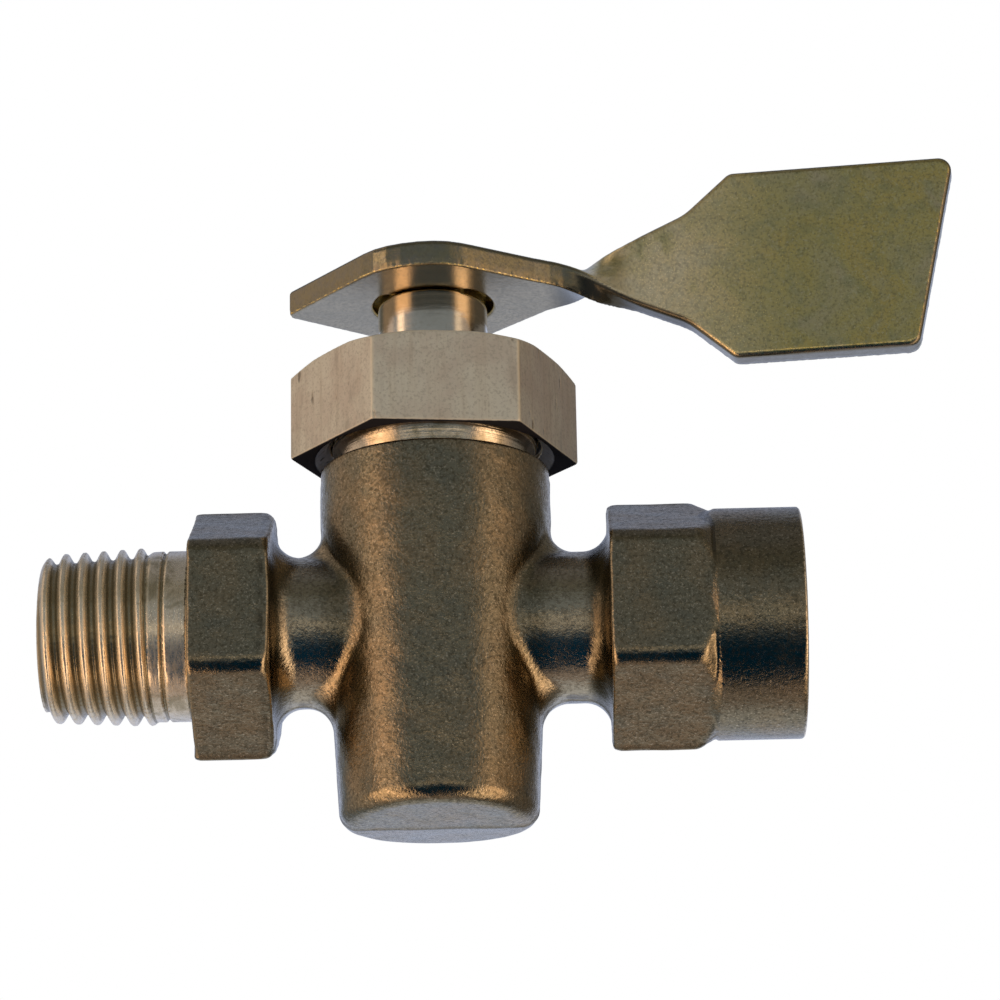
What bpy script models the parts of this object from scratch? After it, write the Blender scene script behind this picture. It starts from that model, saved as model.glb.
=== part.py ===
"""Quarter-turn ground-plug shut-off valve, 1/4 NPT male by 1/4 NPT female.

A forged brass body with a closed bottom holds a tapered plug that is lapped into a tapered seat.  A
spring above the plug keeps it seated, a hexagonal bonnet nut closes the top and carries the stem
seal, and a stamped steel lever is riveted on the flatted end of the stem.

Frame: +X runs along the pipe from the male end to the female end, +Z runs up the stem, and the
origin is the middle of the narrow flat under the body, on the stem axis.  Blender's units are
metres; the sizes below are millimetres, with heights measured from the pipe axis.
"""
import math

import bpy
import bmesh
from mathutils import Matrix, Vector

MM = 0.001

# ---------------------------------------------------------------- driving dimensions
PIPE_Z = 15.3              # height of the pipe axis above the bottom flat
SEG = 40                   # facets around a turned part
BORE_SEG = 36              # facets around the waterway and the plug's port
GAP = 0.1                  # air between neighbouring loose parts along the stem

# Body barrel, upright on the stem axis
BARREL_TOP = 12.4          # shoulder under the bonnet nut
BARREL_R_TOP = 8.67
BARREL_STRAIGHT = 8.3      # the barrel is cylindrical above this height and tapers below it
BARREL_TAPER = math.tan(math.radians(3.28))
BARREL_BOTTOM = -PIPE_Z
BARREL_EDGE = 0.25         # chamfer at the shoulder and step at the neck's foot
BOTTOM_FLAT_R = 2.2
BOTTOM_ROUND_R = 1.8       # rounding between the barrel's side and its bottom
BOTTOM_ROUND_LIFT = 0.35   # lowest point of that rounding above the flat
NECK_R = 7.85              # neck for the bonnet nut (5/8 in nominal)
NECK_TOP = 18.1
NECK_CHAMFER = 0.4

# Body arms and ends, along the pipe
ARM_R = 5.7                # round necks between the barrel and the end hexagons
ARM_FILLET = 2.1
HEX_AF = 16.7              # wrench size of both body hexagons
HEX_EDGE = 0.35            # bevel along the long edges of every hexagon
MALE_HEX_X0, MALE_HEX_X1 = -18.15, -12.4
FEMALE_HEX_X0, FEMALE_HEX_X1 = 13.2, 20.95
BAND_R = 8.72              # round band beyond the female hexagon
FEMALE_END_X = 27.4
MALE_END_X = -29.55
FLOW_R = 3.6               # waterway through both arms
FEMALE_MINOR_R = 5.72      # radius of the female socket at the face
SOCKET_TAPER = 1.0 / 32.0  # NPT taper on the radius
SOCKET_BOTTOM_X = 13.9

# Male thread
PITCH = 25.4 / 18.0        # 1/4 NPT, 18 threads to the inch
CREST_TAPER = 0.05         # crests worn down a little towards the tip
MALE_R_AT_RUNOUT = 6.76    # crest radius where the thread runs out
MALE_RUNOUT_X = -21.6
MALE_NECK_R = 6.43         # plain neck between thread and hexagon
THREAD_PHASE = 0.28        # where the helix happens to start
THREAD_DEPTH = 0.95
THREAD_STEPS = 28          # sections per turn
THREAD_CLEAR = 0.18        # the cutter stands this far outside the crests
THREAD_MIN_CUT = 0.02      # least height of the cutter's section
ROOT_HALF = 0.10           # half width of the groove's flat root
FLANK_WIDTH = 0.46         # width of one flank at full depth
RUNOUT_TURNS = 0.8         # the groove lifts out over this many turns

# Tapered plug, its seat and its stem
PLUG_R = 6.10              # plug radius at PLUG_BIG_Z
PLUG_BIG_Z, PLUG_TOP_Z, PLUG_BOTTOM_Z = 9.5, 10.5, -11.2
PLUG_TAPER = 0.0585
PLUG_EDGE = 0.3            # chamfer at both ends of the plug
PLUG_CLEAR = 0.06
SEAT_TOP_Z = PLUG_TOP_Z - 0.15
SEAT_FLOOR_Z = -12.3
PORT_R = 3.2
PORT_HALF = 8.0            # half length of the port's cutter
COUNTERBORE_R = 6.5        # bore above the seat for washers and spring
STEM_R = 4.25
STEM_TOP_Z = 26.0
STEM_EDGE = 0.15
TANG = 6.2                 # across the two flats that drive the lever
TANG_GAP = 0.1

# Lever.  "Along" is the distance from the stem axis towards the paddle.
LEVER_TURN = math.radians(-7.5)   # from the pipe direction, valve open
LEVER_T = 2.0              # sheet thickness
LEVER_Z0 = STEM_TOP_Z + GAP       # underside of the plate
LEVER_RISE = 0.42          # the paddle's middle sits this much above the plate's middle
HOLE_R = 4.66              # round sides of the lever's hole
HOLE_SHIFT = 0.05          # the hole sits this much off the stem, towards the paddle
TWIST_START, TWIST_END = 9.0, 17.0
PADDLE_HALF = 7.58
PADDLE_UPPER_END, PADDLE_LOWER_END = 40.62, 37.25
PADDLE_CORNER_R = 0.9
PADDLE_CORNER_STEPS = 4
PADDLE_SPANS = 6           # pieces along the paddle's straight edges
EDGE_PIECE = 1.1           # longest straight piece of the edge ahead of the paddle

HEAD_R = 5.1               # riveted head above the lever
HEAD_Z0, HEAD_Z1 = LEVER_Z0 + LEVER_T + GAP, 29.15

# Bonnet nut and stem seal
NUT_AF = 19.05             # 3/4 in wrench size
NUT_Z0, NUT_Z1 = 13.45, 20.6
NUT_TURN = 7.0             # degrees the nut happens to be turned, tightened
NUT_THREAD_R = 7.90
NUT_CEILING_Z = 18.3
NUT_BORE_R = 4.33
ORING_Z, ORING_WIRE_R, ORING_MEAN_R = 19.4, 0.46, 4.76
ORING_WIRE_SEG = 10
GROOVE_R, GROOVE_HALF = 5.27, 0.51

# Washers and spring above the plug
WASHER_IN, WASHER_OUT, WASHER_T = 4.45, 6.35, 0.6
SLIP_Z0 = PLUG_TOP_Z + GAP
LOWER_Z0 = SLIP_Z0 + WASHER_T + GAP
UPPER_Z0 = 17.35
SPRING_WIRE_R, SPRING_MEAN_R = 0.5, 5.35
SPRING_Z0, SPRING_Z1 = LOWER_Z0 + WASHER_T + GAP, UPPER_Z0 - GAP
SPRING_TURNS = 3.25
SPRING_STEPS = 20          # points per turn

# ---------------------------------------------------------------- measured tables
# Arm where it widens into its end hexagon: distance from the stem axis, radius.
ARM_FLARE = [
    (10.6, ARM_R), (11.3, ARM_R + 0.28), (11.85, ARM_R + 0.9), (12.25, ARM_R + 1.75),
    (12.5, 8.1), (14.0, 8.1),
]

# Corners of the lever's edge up to the paddle: along, half width, corner radius, arc steps.
LEVER_CORNERS = [
    (-11.15, 0.4, 0.0, 0),            # blunt point of the nose
    (-0.4, 10.75, 5.9, 9),            # belly over the stem
    (9.95, 2.08, 5.0, 4),             # neck
    (14.4, 2.05, 7.0, 4),
    (19.8, 4.45, 4.0, 3),
    (23.35, PADDLE_HALF, 0.9, 4),     # start of the paddle
]

# Material name: colour, roughness, metallic.
MATERIALS = {
    "forged_brass": ((0.55, 0.44, 0.24), 0.42, 1.0),
    "machined_brass": ((0.72, 0.60, 0.36), 0.28, 1.0),
    "plug_brass": ((0.74, 0.60, 0.32), 0.22, 1.0),
    "zinc_steel": ((0.55, 0.50, 0.30), 0.35, 1.0),
    "spring_steel": ((0.60, 0.60, 0.58), 0.30, 1.0),
    "washer_brass": ((0.70, 0.58, 0.32), 0.35, 1.0),
    "white_plastic": ((0.85, 0.84, 0.80), 0.50, 0.0),
    "black_rubber": ((0.03, 0.03, 0.03), 0.60, 0.0),
}

# ---------------------------------------------------------------- scene and materials
for old in list(bpy.data.objects):
    bpy.data.objects.remove(old, do_unlink=True)

parts = bpy.data.collections.new("ground_plug_valve")
cutters = bpy.data.collections.new("cutters")
bpy.context.scene.collection.children.link(parts)
bpy.context.scene.collection.children.link(cutters)


def make_material(name, colour, roughness, metallic):
    mat = bpy.data.materials.new(name)
    mat.use_nodes = True
    shader = mat.node_tree.nodes["Principled BSDF"]
    shader.inputs["Base Color"].default_value = (*colour, 1.0)
    shader.inputs["Roughness"].default_value = roughness
    shader.inputs["Metallic"].default_value = metallic


for material_name, settings in MATERIALS.items():
    make_material(material_name, *settings)


def paint(obj, material_name):
    obj.data.materials.append(bpy.data.materials[material_name])


# ---------------------------------------------------------------- shape helpers
def new_object(name, data, collection, axis="Z"):
    """Object with its origin on the pipe axis.  With axis X its local Z points along +X."""
    obj = bpy.data.objects.new(name, data)
    collection.objects.link(obj)
    obj.location = (0.0, 0.0, PIPE_Z * MM)
    if axis == "X":
        obj.rotation_euler = (0.0, math.radians(90.0), 0.0)
    if collection is cutters:
        obj.hide_render = True
        obj.display_type = "WIRE"
    return obj


def finished_mesh(name, shape):
    """Mesh data made from a bmesh, which is freed."""
    mesh = bpy.data.meshes.new(name)
    shape.to_mesh(mesh)
    shape.free()
    return mesh


def lathe(name, profile, collection=cutters, axis="Z", steps=SEG, closed=False):
    """Turned shape.  profile is (radius, height) down the outer side from top to bottom; with
    axis X the height runs along +X."""
    mesh = bpy.data.meshes.new(name)
    points = [(radius * MM, 0.0, height * MM) for radius, height in profile]
    edges = [(i, i + 1) for i in range(len(points) - 1)]
    if closed:
        edges.append((len(points) - 1, 0))
    mesh.from_pydata(points, edges, [])
    obj = new_object(name, mesh, collection, axis)
    screw = obj.modifiers.new("turn", "SCREW")
    screw.axis = "Z"
    screw.angle = math.tau
    screw.steps = steps
    screw.render_steps = steps
    screw.use_merge_vertices = True
    screw.merge_threshold = 0.000001
    screw.use_smooth_shade = True
    return obj


def corner_radius(across_flats):
    """Distance from a hexagon's middle to its corners."""
    return across_flats / 2.0 / math.cos(math.radians(30.0))


def hexagon(name, across_flats, z0, z1, turn=0.0, collection=cutters, axis="Z"):
    """Six-sided prism from z0 to z1, a corner on local +X before the turn in degrees."""
    shape = bmesh.new()
    radius = corner_radius(across_flats) * MM
    height = (z1 - z0) * MM
    bmesh.ops.create_cone(shape, cap_ends=True, segments=6, radius1=radius, radius2=radius,
                          depth=height)
    bmesh.ops.transform(shape, verts=shape.verts,
                        matrix=Matrix.Rotation(math.radians(90.0 + turn), 4, "Z"))
    bmesh.ops.translate(shape, verts=shape.verts, vec=(0.0, 0.0, (z0 + z1) / 2.0 * MM))
    upright = [edge for edge in shape.edges
               if abs(edge.verts[0].co.z - edge.verts[1].co.z) > height * 0.5]
    bmesh.ops.bevel(shape, geom=upright, offset=HEX_EDGE * MM, segments=2, profile=0.5,
                    affect="EDGES")
    return new_object(name, finished_mesh(name, shape), collection, axis)


def boolean(obj, other, operation):
    mod = obj.modifiers.new(operation.lower() + "_" + other.name, "BOOLEAN")
    mod.operation = operation
    mod.object = other


def loft(name, rings, collection=cutters, axis="Z"):
    """Closed skin over rings of equal length, capped at both ends.  Rings turn the positive way
    round and follow each other along the positive direction."""
    shape = bmesh.new()
    rows = [[shape.verts.new(Vector(point) * MM) for point in ring] for ring in rings]
    count = len(rows[0])
    for row, following in zip(rows, rows[1:]):
        for i in range(count):
            j = (i + 1) % count
            shape.faces.new((row[i], row[j], following[j], following[i]))
    shape.faces.new(list(reversed(rows[0])))
    shape.faces.new(rows[-1])
    bmesh.ops.recalc_face_normals(shape, faces=shape.faces)
    return new_object(name, finished_mesh(name, shape), collection, axis)


def flatted_bar(name, radius, across, z0, z1, shift):
    """Round bar from z0 to z1 with two flats along the lever.  Its round sides are shifted off
    the stem axis towards the paddle."""
    bar = lathe(name, [(0.0, z1), (radius, z1), (radius, z0), (0.0, z0)])
    shape = bmesh.new()
    bmesh.ops.create_cube(shape, size=1.0)
    bmesh.ops.scale(shape, verts=shape.verts, vec=(24.0 * MM, across * MM, 20.0 * MM))
    block_name = name + "_flats"
    block = new_object(block_name, finished_mesh(block_name, shape), cutters)
    block.location = (0.0, 0.0, (PIPE_Z + (z0 + z1) / 2.0) * MM)
    block.rotation_euler = (0.0, 0.0, LEVER_TURN)
    bar.location = (shift * math.cos(LEVER_TURN) * MM, shift * math.sin(LEVER_TURN) * MM,
                    PIPE_Z * MM)
    boolean(bar, block, "INTERSECT")
    return bar


def sharpen(obj):
    obj.data.set_sharp_from_angle(angle=math.radians(35.0))


# ---------------------------------------------------------------- valve body
def barrel_radius(z):
    return BARREL_R_TOP - max(0.0, BARREL_STRAIGHT - z) * BARREL_TAPER


def plug_radius(z):
    return PLUG_R + (z - PLUG_BIG_Z) * PLUG_TAPER


def seat_radius(z):
    return plug_radius(z) + PLUG_CLEAR


def male_crest(x):
    return MALE_R_AT_RUNOUT + (x - MALE_RUNOUT_X) * CREST_TAPER


def socket_radius(x):
    return FEMALE_MINOR_R + (x - FEMALE_END_X) * SOCKET_TAPER


def barrel():
    """Solid barrel with the bonnet nut's neck on top and a rounded bottom edge."""
    round_z = BARREL_BOTTOM + BOTTOM_ROUND_LIFT + BOTTOM_ROUND_R
    round_centre = barrel_radius(round_z) - BOTTOM_ROUND_R
    profile = [
        (0.0, NECK_TOP), (NECK_R - NECK_CHAMFER, NECK_TOP), (NECK_R, NECK_TOP - NECK_CHAMFER),
        (NECK_R, BARREL_TOP + BARREL_EDGE), (NECK_R + BARREL_EDGE, BARREL_TOP),
        (BARREL_R_TOP - BARREL_EDGE, BARREL_TOP), (BARREL_R_TOP, BARREL_TOP - BARREL_EDGE),
        (BARREL_R_TOP, BARREL_STRAIGHT),
    ]
    profile += [(barrel_radius(z), z) for z in (4.0, 0.0, -4.0, -8.0)]
    for k in range(7):
        angle = math.radians(15.0 * k)
        profile.append((round_centre + BOTTOM_ROUND_R * math.cos(angle),
                        round_z - BOTTOM_ROUND_R * math.sin(angle)))
    profile += [(BOTTOM_FLAT_R, BARREL_BOTTOM), (0.0, BARREL_BOTTOM)]
    return lathe("valve_body", profile, parts)


def arm_ring(direction, radius, distance, from_barrel=False):
    """Ring round the pipe axis, at a distance from the stem axis or from the barrel's skin."""
    ring = []
    for i in range(SEG):
        angle = math.tau * i / SEG
        y, z = radius * math.sin(angle), radius * math.cos(angle)
        x = distance
        if from_barrel:
            x += math.sqrt(barrel_radius(z) ** 2 - y * y)
        ring.append((direction * x, direction * y, z))
    return ring


def arm(name, direction, flare_shift):
    """Round neck along the pipe that meets the tapered barrel in a fillet all the way round and
    flares out into the end hexagon.  direction is +1 or -1 along X."""
    rings = [arm_ring(direction, ARM_R - 0.8, 1.0)]
    for degrees in range(90, -1, -15):
        angle = math.radians(degrees)
        radius = ARM_R + ARM_FILLET * (1.0 - math.cos(angle))
        distance = ARM_FILLET * (1.0 - math.sin(angle))
        if degrees == 90:
            distance -= 0.25    # sinks the fillet's rim into the barrel
        rings.append(arm_ring(direction, radius, distance, from_barrel=True))
    for distance, radius in ARM_FLARE:
        rings.append(arm_ring(direction, radius, distance + flare_shift))
    if direction < 0:
        rings.reverse()
    return loft(name, rings)


def male_hex():
    flange = hexagon("male_hex", HEX_AF, MALE_HEX_X0, MALE_HEX_X1, axis="X")
    chamfer = [
        (0.0, MALE_HEX_X1 + 0.6), (7.9, MALE_HEX_X1 + 0.6), (9.3, MALE_HEX_X1 - 0.1),
        (9.8, MALE_HEX_X1 - 0.45), (9.8, MALE_HEX_X0 + 0.12), (9.55, MALE_HEX_X0),
        (8.0, MALE_HEX_X0 - 0.5), (0.0, MALE_HEX_X0 - 0.5),
    ]
    boolean(flange, lathe("male_hex_chamfer", chamfer, axis="X"), "INTERSECT")
    return flange


def male_side():
    """Turned male end: a plain neck with a shallow groove, then the tapered thread blank."""
    groove_r = MALE_NECK_R - 0.2
    tip_x = MALE_END_X + 1.2
    return lathe("male_side", [
        (0.0, -15.0), (8.0, -15.0), (8.0, -17.5), (MALE_NECK_R + 0.2, -18.1),
        (MALE_NECK_R, MALE_HEX_X0 - 0.15), (MALE_NECK_R, -20.05), (groove_r, -20.2),
        (groove_r, -20.3), (MALE_NECK_R, -20.45), (MALE_NECK_R, MALE_RUNOUT_X + 0.7),
        (male_crest(MALE_RUNOUT_X) - 0.03, MALE_RUNOUT_X), (male_crest(tip_x), tip_x),
        (5.9, MALE_END_X), (0.0, MALE_END_X),
    ], axis="X")


def female_hex():
    socket_hex = hexagon("female_hex", HEX_AF, FEMALE_HEX_X0, FEMALE_HEX_X1, axis="X")
    chamfer = [
        (0.0, FEMALE_HEX_X1 + 0.5), (8.0, FEMALE_HEX_X1 + 0.5), (8.45, FEMALE_HEX_X1),
        (9.8, 19.15), (9.8, FEMALE_HEX_X0 + 0.3), (9.45, FEMALE_HEX_X0),
        (8.0, FEMALE_HEX_X0 - 0.5), (0.0, FEMALE_HEX_X0 - 0.5),
    ]
    boolean(socket_hex, lathe("female_hex_chamfer", chamfer, axis="X"), "INTERSECT")
    return socket_hex


def female_side():
    """Turned female end: the round band and its step down inside the hexagon."""
    return lathe("female_side", [
        (0.0, FEMALE_END_X), (BAND_R - 0.3, FEMALE_END_X), (BAND_R, FEMALE_END_X - 0.3),
        (BAND_R, 21.6), (BAND_R - 0.1, 20.9), (8.3, 20.0), (8.1, 19.6), (8.1, 16.0), (0.0, 16.0),
    ], axis="X")


def seat_bore():
    mouth_z = NECK_TOP + 0.6
    return lathe("seat_bore", [
        (0.0, mouth_z), (COUNTERBORE_R, mouth_z), (COUNTERBORE_R, SEAT_TOP_Z),
        (seat_radius(SEAT_TOP_Z), SEAT_TOP_Z), (seat_radius(SEAT_FLOOR_Z), SEAT_FLOOR_Z),
        (0.0, SEAT_FLOOR_Z - 0.4),
    ])


def waterway():
    """Bore from the socket to the male end, chamfered at the male face."""
    mouth_r = FLOW_R + 0.5
    return lathe("waterway", [
        (0.0, 14.5), (FLOW_R, 14.5), (FLOW_R, MALE_END_X + 0.4), (mouth_r, MALE_END_X - 0.1),
        (mouth_r, MALE_END_X - 1.0), (0.0, MALE_END_X - 1.0),
    ], axis="X", steps=BORE_SEG)


def socket():
    """Smooth tapered socket with a chamfered mouth and a conical bottom."""
    return lathe("socket", [
        (0.0, FEMALE_END_X + 0.6), (7.6, FEMALE_END_X + 0.6), (7.0, FEMALE_END_X),
        (socket_radius(26.0), 26.0), (socket_radius(SOCKET_BOTTOM_X), SOCKET_BOTTOM_X),
        (0.0, SOCKET_BOTTOM_X - 2.2),
    ], axis="X")


def male_thread():
    """Right-handed helical V groove with a flat root, lifting out of the surface at its end."""
    start = MALE_END_X + THREAD_PHASE - 2.0 * PITCH
    end = MALE_RUNOUT_X + 0.9
    count = int(round((end - start) / PITCH * THREAD_STEPS))
    rings = []
    for k in range(count + 1):
        z = start + (end - start) * k / count
        angle = math.tau * (z - start) / PITCH
        engaged = min(1.0, (end - z) / PITCH / RUNOUT_TURNS)
        outer = male_crest(z) + THREAD_CLEAR
        cut = (THREAD_DEPTH + THREAD_CLEAR) * engaged
        root = outer - max(cut, THREAD_MIN_CUT)
        outer_half = ROOT_HALF + FLANK_WIDTH * engaged
        section = [(outer, -outer_half), (root, -ROOT_HALF), (root, ROOT_HALF),
                   (outer, outer_half)]
        rings.append([(radius * math.cos(angle), radius * math.sin(angle), z + offset)
                      for radius, offset in section])
    return loft("male_thread", rings, axis="X")


def build_body():
    body = barrel()
    paint(body, "forged_brass")
    boolean(body, arm("male_neck", direction=-1.0, flare_shift=-0.1), "UNION")
    boolean(body, arm("female_neck", direction=1.0, flare_shift=0.45), "UNION")
    for solid in (male_hex, male_side, female_hex, female_side):
        boolean(body, solid(), "UNION")
    for cut in (seat_bore, waterway, socket, male_thread):
        boolean(body, cut(), "DIFFERENCE")


# ---------------------------------------------------------------- tapered plug with its stem
def build_plug():
    chamfer_top = PLUG_TOP_Z - PLUG_EDGE
    chamfer_bottom = PLUG_BOTTOM_Z + PLUG_EDGE
    plug = lathe("tapered_plug", [
        (0.0, STEM_TOP_Z), (STEM_R - STEM_EDGE, STEM_TOP_Z), (STEM_R, STEM_TOP_Z - STEM_EDGE),
        (STEM_R, PLUG_TOP_Z), (plug_radius(PLUG_TOP_Z) - PLUG_EDGE, PLUG_TOP_Z),
        (plug_radius(chamfer_top), chamfer_top), (plug_radius(chamfer_bottom), chamfer_bottom),
        (plug_radius(PLUG_BOTTOM_Z) - PLUG_EDGE, PLUG_BOTTOM_Z), (0.0, PLUG_BOTTOM_Z),
    ], parts)
    paint(plug, "plug_brass")

    # The tang reaches a little into the stem and into the head.
    tang = flatted_bar("tang", STEM_R - 0.02, TANG, STEM_TOP_Z - 0.5, HEAD_Z0 + 0.3, shift=0.0)
    boolean(plug, tang, "UNION")
    head = lathe("riveted_head", [
        (0.0, HEAD_Z1), (1.8, HEAD_Z1 - 0.04), (3.0, HEAD_Z1 - 0.18), (3.9, HEAD_Z1 - 0.4),
        (HEAD_R, HEAD_Z1 - 0.7), (HEAD_R, HEAD_Z0), (0.0, HEAD_Z0),
    ])
    boolean(plug, head, "UNION")
    port = lathe("port", [(0.0, PORT_HALF), (PORT_R, PORT_HALF), (PORT_R, -PORT_HALF),
                          (0.0, -PORT_HALF)], axis="X", steps=BORE_SEG)
    boolean(plug, port, "DIFFERENCE")


# ---------------------------------------------------------------- washers, spring and seal
def build_washer(name, z0, material_name):
    z1 = z0 + WASHER_T
    washer = lathe(name, [(WASHER_IN, z1), (WASHER_OUT, z1), (WASHER_OUT, z0), (WASHER_IN, z0)],
                   parts, closed=True)
    paint(washer, material_name)


def build_spring():
    coil = bpy.data.curves.new("plug_spring", "CURVE")
    coil.dimensions = "3D"
    coil.bevel_depth = SPRING_WIRE_R * MM
    coil.bevel_resolution = 2
    coil.use_fill_caps = True
    coil.twist_mode = "Z_UP"
    total = int(SPRING_TURNS * SPRING_STEPS)
    spline = coil.splines.new("POLY")
    spline.points.add(total)
    low, high = SPRING_Z0 + SPRING_WIRE_R, SPRING_Z1 - SPRING_WIRE_R
    for i in range(total + 1):
        angle = math.tau * i / SPRING_STEPS
        z = low + (high - low) * i / total
        spline.points[i].co = (SPRING_MEAN_R * math.cos(angle) * MM,
                               SPRING_MEAN_R * math.sin(angle) * MM, z * MM, 1.0)
    paint(new_object("plug_spring", coil, parts), "spring_steel")


def build_oring():
    bpy.ops.mesh.primitive_torus_add(
        major_segments=SEG, minor_segments=ORING_WIRE_SEG, major_radius=ORING_MEAN_R * MM,
        minor_radius=ORING_WIRE_R * MM, location=(0.0, 0.0, (PIPE_Z + ORING_Z) * MM))
    oring = bpy.context.object
    oring.name = "stem_oring"
    for collection in list(oring.users_collection):
        collection.objects.unlink(oring)
    parts.objects.link(oring)
    oring.data.shade_smooth()
    paint(oring, "black_rubber")


# ---------------------------------------------------------------- bonnet nut
def build_nut():
    nut = hexagon("bonnet_nut", NUT_AF, NUT_Z0, NUT_Z1, NUT_TURN, parts)
    paint(nut, "machined_brass")
    corner = corner_radius(NUT_AF) + 0.1
    chamfer = [
        (0.0, NUT_Z1 + 0.3), (9.0, NUT_Z1 + 0.3), (9.75, NUT_Z1), (corner, NUT_Z1 - 0.54),
        (corner, NUT_Z0 + 0.5), (9.75, NUT_Z0), (9.0, NUT_Z0 - 0.3), (0.0, NUT_Z0 - 0.3),
    ]
    boolean(nut, lathe("nut_chamfer", chamfer), "INTERSECT")

    groove_top, groove_bottom = ORING_Z + GROOVE_HALF, ORING_Z - GROOVE_HALF
    mouth_r = NUT_THREAD_R + 0.9
    bore = [
        (0.0, NUT_Z1 + 1.0), (NUT_BORE_R + 1.2, NUT_Z1 + 1.0), (NUT_BORE_R, NUT_Z1 - 0.2),
        (NUT_BORE_R, groove_top), (GROOVE_R, groove_top), (GROOVE_R, groove_bottom),
        (NUT_BORE_R, groove_bottom), (NUT_BORE_R, NUT_CEILING_Z), (NUT_THREAD_R, NUT_CEILING_Z),
        (NUT_THREAD_R, NUT_Z0 + 0.6), (mouth_r, NUT_Z0 - 0.3), (mouth_r, NUT_Z0 - 1.0),
        (0.0, NUT_Z0 - 1.0),
    ]
    boolean(nut, lathe("nut_bore", bore), "DIFFERENCE")
    sharpen(nut)


# ---------------------------------------------------------------- lever handle
# The plate has a pointed nose and a rounded belly over the stem, narrows to a neck, twists a
# quarter turn there and widens into an upright paddle with a raked end.
def smooth(start, end, value):
    """0 before start, 1 after end, with an eased rise between them."""
    t = min(1.0, max(0.0, (value - start) / (end - start)))
    return t * t * t * (10.0 - 15.0 * t + 6.0 * t * t)


def rounded_path(corners):
    """Open path through (x, y, radius, arc steps) corners, with an arc at each inner one."""
    places = [Vector(corner[:2]) for corner in corners]
    path = [places[0]]
    for k in range(1, len(corners) - 1):
        place = places[k]
        radius, steps = corners[k][2:]
        back = (places[k - 1] - place).normalized()
        ahead = (places[k + 1] - place).normalized()
        half = math.acos(back.dot(ahead)) / 2.0
        reach = radius / math.tan(half)
        centre = place + (back + ahead).normalized() * radius / math.sin(half)
        start, end = place + back * reach - centre, place + ahead * reach - centre
        turn = math.atan2(start.x * end.y - start.y * end.x, start.dot(end))
        for i in range(steps + 1):
            angle = turn * i / steps
            cosine, sine = math.cos(angle), math.sin(angle)
            path.append(centre + Vector((start.x * cosine - start.y * sine,
                                         start.x * sine + start.y * cosine)))
    path.append(places[-1])
    return path


def divided(path, longest):
    """The path with its long straight runs split into pieces no longer than longest."""
    out = [path[0]]
    for start, end in zip(path, path[1:]):
        pieces = max(1, int(math.ceil((end - start).length / longest)))
        out += [start.lerp(end, (i + 1) / pieces) for i in range(pieces)]
    return out


def lever_edge(end, other_end):
    """Edge from the nose to the paddle's raked end, where the opposite edge ends at other_end."""
    path = rounded_path(LEVER_CORNERS + [
        (end, PADDLE_HALF, PADDLE_CORNER_R, PADDLE_CORNER_STEPS),
        (end + (other_end - end) * 0.5, 0.0, 0.0, 0),
    ])
    end_start = len(path) - 1 - (PADDLE_CORNER_STEPS + 1)
    edge = divided(path[:end_start], EDGE_PIECE)
    end_corner = path[end_start:-1]
    straight = [edge[-1].lerp(end_corner[0], (i + 1) / PADDLE_SPANS)
                for i in range(PADDLE_SPANS - 1)]
    return edge + straight + end_corner


def lever_point(along, width, side):
    """width is signed, and positive on the paddle's upper half.  side is +1 on the face that is
    the plate's top and the paddle's -Y face.  The plate sits a little off the lever's middle
    line, towards -Y."""
    turned = smooth(TWIST_START, TWIST_END, along)
    twist = turned * math.pi / 2.0
    middle = LEVER_Z0 + LEVER_T / 2.0 + LEVER_RISE * turned
    depth = side * LEVER_T / 2.0
    offset = -0.2 - 0.5 * smooth(-2.0, 5.0, along) + 0.7 * smooth(8.0, 13.0, along)
    return (along,
            offset + width * math.cos(twist) - depth * math.sin(twist),
            middle + width * math.sin(twist) + depth * math.cos(twist))


def build_lever():
    upper_edge = lever_edge(PADDLE_UPPER_END, PADDLE_LOWER_END)
    lower_edge = lever_edge(PADDLE_LOWER_END, PADDLE_UPPER_END)
    sections = [[lever_point(upper.x, upper.y, 1.0), lever_point(upper.x, upper.y, -1.0),
                 lever_point(lower.x, -lower.y, -1.0), lever_point(lower.x, -lower.y, 1.0)]
                for upper, lower in zip(upper_edge, lower_edge)]
    lever = loft("lever_handle", sections, parts)
    paint(lever, "zinc_steel")
    lever.rotation_euler = (0.0, 0.0, LEVER_TURN)
    hole = flatted_bar("tang_hole", HOLE_R, TANG + 2.0 * TANG_GAP, LEVER_Z0 - 2.0,
                       LEVER_Z0 + 4.0, HOLE_SHIFT)
    boolean(lever, hole, "DIFFERENCE")
    sharpen(lever)


# ---------------------------------------------------------------- assembly
build_body()
build_plug()
build_washer("slip_washer", SLIP_Z0, "white_plastic")
build_washer("lower_spring_washer", LOWER_Z0, "washer_brass")
build_washer("upper_spring_washer", UPPER_Z0, "washer_brass")
build_spring()
build_oring()
build_nut()
build_lever()
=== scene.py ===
"""Looks of the quarter-turn ground-plug valve: fine meshes, materials, light and camera.

The pipe runs along x, with the male thread at -x and the threaded socket at +x.  The stem
rises along +z and the camera stands at -y.  Shapes are in millimetres with z counted from
the pipe axis; most are meshed from signed distance functions, negative inside.
"""
import math

import bpy
import numpy as np
import openvdb as vdb
from mathutils import Matrix, Vector


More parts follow.
